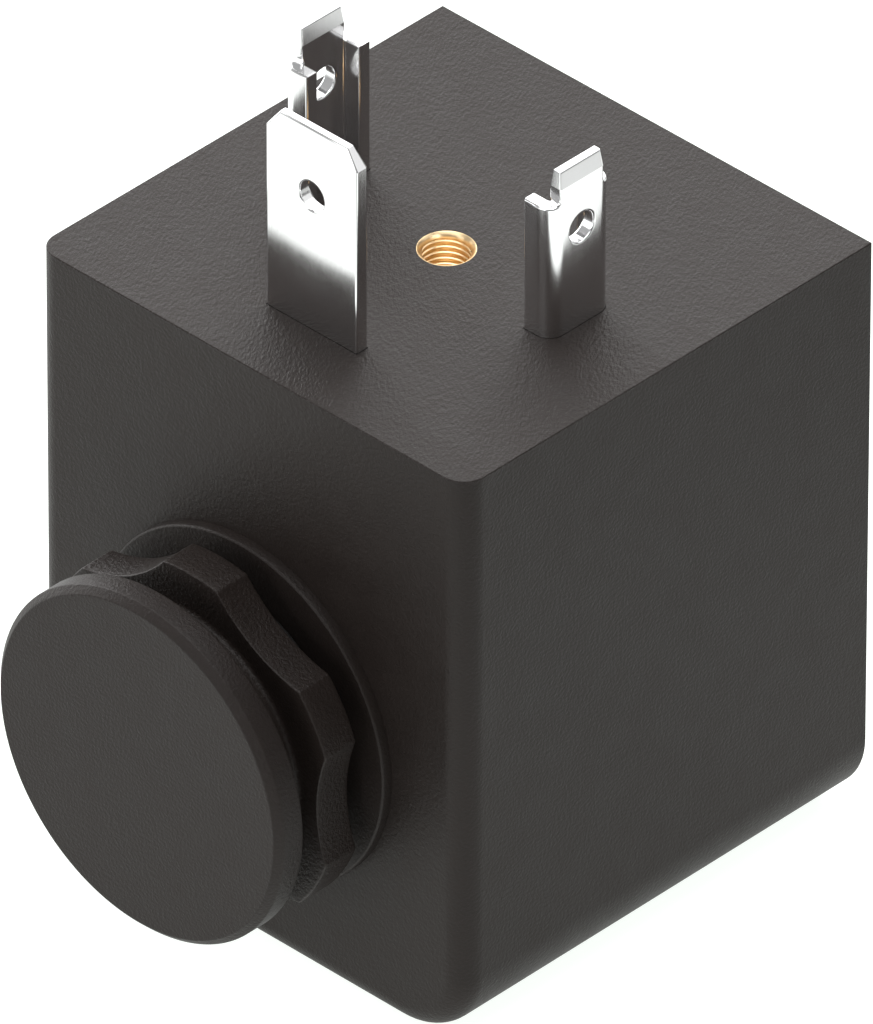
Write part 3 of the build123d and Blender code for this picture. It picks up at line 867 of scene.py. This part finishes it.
nut_outline = with_rows(rounded(nut_corners), thread_core, thread_pitch / rows_a_pitch, wide_row)
nut_mesh = turned("nut", nut_outline, scallop_angles(),
                  {"thread": nut_thread_share, "grip": grip_share})
nut_mesh = follow(nut_mesh, inner_thread, nut_black, Pitch=thread_pitch * mm,
                  Depth=thread_depth * mm, Flank=thread_flank)
nut_mesh = follow(nut_mesh, scalloped_grip, nut_black, Count=float(scallops),
                  Reach=hollow_reach * mm, Hollow_radius=hollow_radius * mm,
                  Rim_radius=nut_radius * mm, Rounding=tip_rounding * mm)
nut_mesh.transform(forwards)
stand_in("coil_nut_body", settle(nut_mesh), nut_black, "nut")

# %% [markdown]
# The cover is a flat disc with a small bevel round its front face. Inside it has a groove that
# snaps over the bead on the neck. Its outline begins and ends on the axis, so both faces close in
# a pole.

# %% Disc cover
cover_radius, cover_back, cover_front = 10.0, 35.85, 37.6
socket_play, bevel, disc_steps = 0.05, 0.4, 288
socket_radius = neck_radius + socket_play

cover_corners = [
    (0, cover_front, 0), (cover_radius - bevel, cover_front, 0.15),
    (cover_radius, cover_front - bevel, 0.15), (cover_radius, cover_back, 0.12),
    (socket_radius, cover_back, 0.1),
    (socket_radius, bead_along - bead_half - socket_play, 0),
    (socket_radius + bead_height, bead_along, 0),
    (socket_radius, bead_along + bead_half + socket_play, 0), (socket_radius, neck_end, 0),
    (0, neck_end, 0),
]
cover_mesh = turned("cover", rounded(cover_corners), even_angles(disc_steps))
cover_mesh.transform(forwards)
stand_in("disc_cover", settle(cover_mesh), cover_black, "nut_cover")

# %% [markdown]
# Both seals are flat rubber rings with rounded lips. One lies in the face that meets the valve,
# and the other is squeezed between the boss and the nut. They are plain turned shapes.

# %% Seals
lip_rounding = 0.35


def seal_ring(name, node, inner, outer, low, high):
    corners = [(radius, along, lip_rounding) for radius, along in
               ((inner, low), (inner, high), (outer, high), (outer, low))]
    ring_mesh = turned(name, rounded(corners), even_angles(disc_steps))
    ring_mesh.transform(forwards)
    stand_in(name, settle(ring_mesh), rubber, node)


seal_ring("valve_seal_ring", "seal_rear", inner=8.05, outer=9.55, low=0.0, high=1.4)
seal_ring("nut_seal_ring", "seal_front", inner=6.2, outer=7.3, low=-boss_front_y, high=seal_end)

# %% [markdown]
# The brass insert takes the centre screw of the plug. Two ribbed bands grip the plastic around it,
# and its thread shows from above, below a wide lead-in cone. The ribs have their own small rule: a
# triangle wave in the turn angle that cuts inwards.

# %% Rule of the ribbed bands
def rib_rule():
    rule = ShapeRule("ribbed_bands")
    count, depth = rule.size("Count"), rule.size("Depth")
    x, y, z = rule.axes()
    radius, turn = rule.radius_and_turn(x, y)
    phase = rule.maths("FRACT", turn * count / (2 * math.pi) + whole_turns)
    cut = rule.maths("ABSOLUTE", phase * 2.0 - 1.0) * depth
    rule.move_outwards(x, y, z, radius, cut * rule.share("ribs") * -1.0)
    return rule.close()


ribbed_bands = rib_rule()

# %% [markdown]
# The outline of the insert runs from the axis along the bottom, up the bands and the collar, and
# down through the cone into the bore, which is closed below.

# %% Outline of the insert
insert_bottom, insert_top = 15.0, 20.6
core_radius, mouth_radius, bore_bottom, cone_depth = 1.25, 1.51, 15.8, 0.26
band_radius, waist_radius, collar_radius = 2.25, 1.9, 1.53
band_length, collar_length = 1.9, 0.4
ribs, rib_depth, rib_zone = 32, 0.12, 0.05
screw_pitch, screw_depth, screw_flank, screw_begin = 0.35, 0.075, 0.2, 0.855
screw_start, screw_end, screw_fade = bore_bottom + 0.5, insert_top - 0.32, 0.05
screw_rows, insert_row, insert_steps, insert_smoothness = 26, 0.3, 192, 80
collar_along = insert_top - collar_length

insert_corners = [
    (0, insert_bottom, 0), (band_radius, insert_bottom, 0.15),
    (band_radius, insert_bottom + band_length, 0.1),
    (waist_radius, insert_bottom + band_length, 0.05),
    (waist_radius, collar_along - band_length, 0.05),
    (band_radius, collar_along - band_length, 0.1), (band_radius, collar_along, 0.1),
    (collar_radius, collar_along, 0), (collar_radius, insert_top, 0.01),
    (mouth_radius, insert_top, 0.01), (core_radius, insert_top - cone_depth, 0),
    (core_radius, bore_bottom, 0), (0, bore_bottom, 0),
]
insert_outline = with_rows(rounded(insert_corners), core_radius, screw_pitch / screw_rows,
                           insert_row)
print("insert:", len(insert_outline), "points in its outline")


# %% [markdown]
# The bore has many rows of points, because a thread of such a fine pitch needs them for its
# crests. Bends of up to 80 degrees are shaded smoothly, so that the thread shines in soft bands.

# %% Threaded insert
def screw_share(radius, along):
    on_bore = core_radius - slack < radius < core_radius + slack and along > bore_bottom
    return fade(along, screw_start, screw_end, screw_fade) if on_bore else 0.0


def rib_share(radius, along):
    return 1.0 if radius > band_radius - rib_zone else 0.0


insert_mesh = turned("insert", insert_outline, even_angles(insert_steps),
                     {"thread": screw_share, "ribs": rib_share})
insert_mesh = follow(insert_mesh, inner_thread, brass, Pitch=screw_pitch * mm,
                     Depth=screw_depth * mm, Begin=screw_begin, Flank=screw_flank)
insert_mesh = follow(insert_mesh, ribbed_bands, brass, Count=float(ribs), Depth=rib_depth * mm)
insert_mesh.transform(Matrix.Translation((0, pattern_y * mm, 0)))
stand_in("brass_plug_insert", settle(insert_mesh, insert_smoothness), brass,
         "plug_insert")

# %% [markdown]
# The winding is thousands of turns of thin wire, and only its outer layer has a shape worth
# making. A spiral curve with one rotation a turn becomes a tube of wire. It lies on a sleeve that
# stands for the layers below. The wire has so many turns that six sides have to do.

# %% Rule of the wire
points_a_turn, wire_sides = 48, 6


def wire_rule():
    rule = ShapeRule("wire_layer")
    turns, layer, length = rule.size("Turns"), rule.size("Layer radius"), rule.size("Length")
    wire = rule.size("Wire radius")
    spiral = rule.node("GeometryNodeCurveSpiral", {},
                       {"Resolution": points_a_turn, "Rotations": turns,
                        "Start Radius": layer, "End Radius": layer, "Height": length})
    section = rule.node("GeometryNodeCurvePrimitiveCircle", {},
                        {"Resolution": wire_sides, "Radius": wire})
    tube = rule.node("GeometryNodeCurveToMesh", {},
                     {"Curve": spiral, "Profile Curve": section, "Fill Caps": True})
    join = rule.tree.nodes.new("GeometryNodeJoinGeometry")
    rule.tree.links.new(tube.socket, join.inputs[0])
    rule.tree.links.new(rule.geometry.socket, join.inputs[0])
    rule.geometry = Wire(rule, join.outputs[0])
    return rule.close()


wire_layer = wire_rule()

# %% [markdown]
# The sleeve reaches to the middle of the wire, so that no light falls between two turns. The
# number of turns follows from the length of the spool and the thickness of the wire.

# %% Copper winding
winding_rear, winding_front, sleeve_steps = 5.0, 24.5, 96
winding_inner, winding_outer, wire_radius = 8.25, 10.4, 0.14
winding_length, layer_radius = winding_front - winding_rear, winding_outer - wire_radius
sleeve = [(winding_inner, 0), (winding_inner, winding_length), (layer_radius, winding_length),
          (layer_radius, 0)]
sleeve_mesh = turned("winding", sleeve, even_angles(sleeve_steps))
wire_turns = round(winding_length / (2 * wire_radius)) - 1
print("turns of wire in the outer layer:", wire_turns)
winding_mesh = follow(sleeve_mesh, wire_layer, winding_copper, Turns=float(wire_turns),
                      Layer_radius=layer_radius * mm, Wire_radius=wire_radius * mm,
                      Length=wire_turns * 2 * wire_radius * mm)
winding_mesh.transform(forwards @ Matrix.Translation((0, 0, winding_rear * mm)))
stand_in("copper_wire_winding", settle(winding_mesh), winding_copper,
         "winding")

# %% [markdown]
# The rest of the inside keeps its CAD shape: the steel yoke with its plate and bushes, the spool,
# the tape, the carrier, the wire ends and the solder. These nodes only take a better finish, in
# the material slots of their own objects.

# %% Finishes of the carried-over nodes
kept_nodes = {
    "bobbin": spool_natural, "winding_tape": film, "yoke_frame": yoke_steel,
    "yoke_plate": yoke_steel, "flux_bush_front": bush_steel, "flux_bush_rear": bush_steel,
    "earth_rivet": rivet_steel, "terminal_carrier": carrier_black, "lead_start": lead_copper,
    "lead_finish": lead_copper, "solder_joints": solder_tin,
}
for node, finish in kept_nodes.items():
    for material_slot in frame["nodes"][node].material_slots:
        material_slot.material = finish
print("nodes with a new finish:", ", ".join(sorted(kept_nodes)))


# %% [markdown]
# The camera stands where the photograph was taken: far away with a long lens, turned to the left
# and looking down. Its direction comes from three angles, and its place from the distance and a
# small shift of the aim, both measured from the middle of the block's underside.

# %% Camera
azimuth, elevation, roll = (math.radians(angle) for angle in (43.95417, 35.82629, 0.09421))
aim = Vector((0, -14.75, -14.9)) * mm
camera_distance, shift_right, shift_down = 1448.71 * mm, 0.8046 * mm, 15.3309 * mm
focal_length, sensor_width, farthest = 999.666, 36.0, 20.0

back = Vector((math.sin(azimuth) * math.cos(elevation), -math.cos(azimuth) * math.cos(elevation),
               math.sin(elevation)))
level = Vector((math.cos(azimuth), math.sin(azimuth), 0))
upright = back.cross(level)
right = math.cos(roll) * level + math.sin(roll) * upright
up = math.cos(roll) * upright - math.sin(roll) * level

camera_data = bpy.data.cameras.new("photo_camera")
camera_data.lens, camera_data.sensor_width = focal_length, sensor_width
camera_data.clip_end = farthest
camera = in_scene("photo_camera", camera_data)
camera.matrix_world = Matrix.LocRotScale(
    aim + back * camera_distance - right * shift_right + up * shift_down,
    Matrix((right, up, back)).transposed(), None)
bpy.context.scene.camera = camera
print("camera in mm:", [round(value / mm, 1) for value in camera.matrix_world.translation])


# %% [markdown]
# A product picture on white lets the floor do much of the work. The floor glows under the part, so
# it stays white and lights the lower edges, and it fades further out. A lamp couldn't light the
# floor so evenly without lighting the part as well. The floor lies a hair below the part, so that
# two faces never share one place.

# %% Floor
glow_middle, glow_edge, glow_end = Vector((-35, -45, 0)) * mm, 100 * mm, 170 * mm
glow_near, glow_far, glow_colour, floor_grey = 0.97, 0.27, (0.955, 1.0, 0.96), (0.3, 0.3, 0.3)


def floor_finish():
    finish = Finish("studio_floor")
    away = finish.node("ShaderNodeVectorMath", {"operation": "DISTANCE"},
                       {0: finish.place, 1: glow_middle}, out="Value")
    strength = finish.node("ShaderNodeMapRange", {},
                           {"Value": away, "From Min": glow_edge, "From Max": glow_end,
                            "To Min": glow_near, "To Max": glow_far})
    glow = finish.node("ShaderNodeEmission", {}, {"Color": glow_colour, "Strength": strength})
    matt = finish.node("ShaderNodeBsdfDiffuse", {}, {"Color": floor_grey})
    both = finish.node("ShaderNodeAddShader", {}, {0: glow, 1: matt})
    finish.node("ShaderNodeOutputMaterial", {}, {"Surface": both})
    return finish.material


floor_half, floor_gap = 4.0, 0.02
floor_z = cad_box[0].z - floor_gap * mm
floor_mesh = bpy.data.meshes.new("floor")
floor_mesh.from_pydata([(x * floor_half, y * floor_half, floor_z)
                        for x, y in ((-1, -1), (1, -1), (1, 1), (-1, 1))], [], [(0, 1, 2, 3)])
floor_mesh.materials.append(floor_finish())
floor = in_scene("floor", floor_mesh)
print(f"floor: {2 * floor_half} m wide, {floor_gap} mm below the part")

# %% [markdown]
# Round lamps overhead, behind and at the left make the plug face the brightest side and show as
# white areas in the tinned contacts. A small lamp behind the right draws thin bright lines on
# edges. The two room lamps and the dim room around them give the brass and the front faces
# something soft to mirror. All lamps stand equally far from the part, so one loop over a table of
# directions, widths and powers makes them.

# %% Lights
lamp_distance, room_strength = 0.6, 0.08
lamps = {
    "overhead": ((0.0, 0.0, 1.0), 0.6, 3.1),
    "key_behind_high": ((-0.05, 0.62, 0.78), 0.6, 1.8),
    "key_left": ((-0.978, 0.0, 0.208), 0.6, 4.0),
    "key_behind_left": ((-0.62, 0.62, 0.42), 0.7, 3.3),
    "fill_front": ((0.0, -0.978, 0.208), 0.45, 1.4),
    "fill_behind_right": ((0.585, 0.584, 0.563), 0.4, 0.35),
    "room_front_left": ((-0.563, -0.585, 0.584), 0.8, 0.55),
    "room_front_right": ((0.41, -0.42, 0.81), 0.45, 0.6),
}
for name, (direction, width, power) in lamps.items():
    lamp_data = bpy.data.lights.new(name, "AREA")
    lamp_data.shape, lamp_data.size, lamp_data.energy = "DISK", width, power
    lamp = in_scene(name, lamp_data)
    toward = Vector(direction).normalized()
    lamp.location = aim + toward * lamp_distance
    lamp.rotation_euler = toward.to_track_quat("Z", "Y").to_euler()
print("lamps:", ", ".join(lamps))

world = bpy.data.worlds.new("studio_room")
world.use_nodes = True
room = Tree(world.node_tree)
room.node("ShaderNodeOutputWorld", {},
          {"Surface": room.node("ShaderNodeBackground", {},
                                {"Color": (1.0, 1.0, 1.0), "Strength": room_strength})})
bpy.context.scene.world = world
bpy.context.scene.view_settings.view_transform = "Standard"
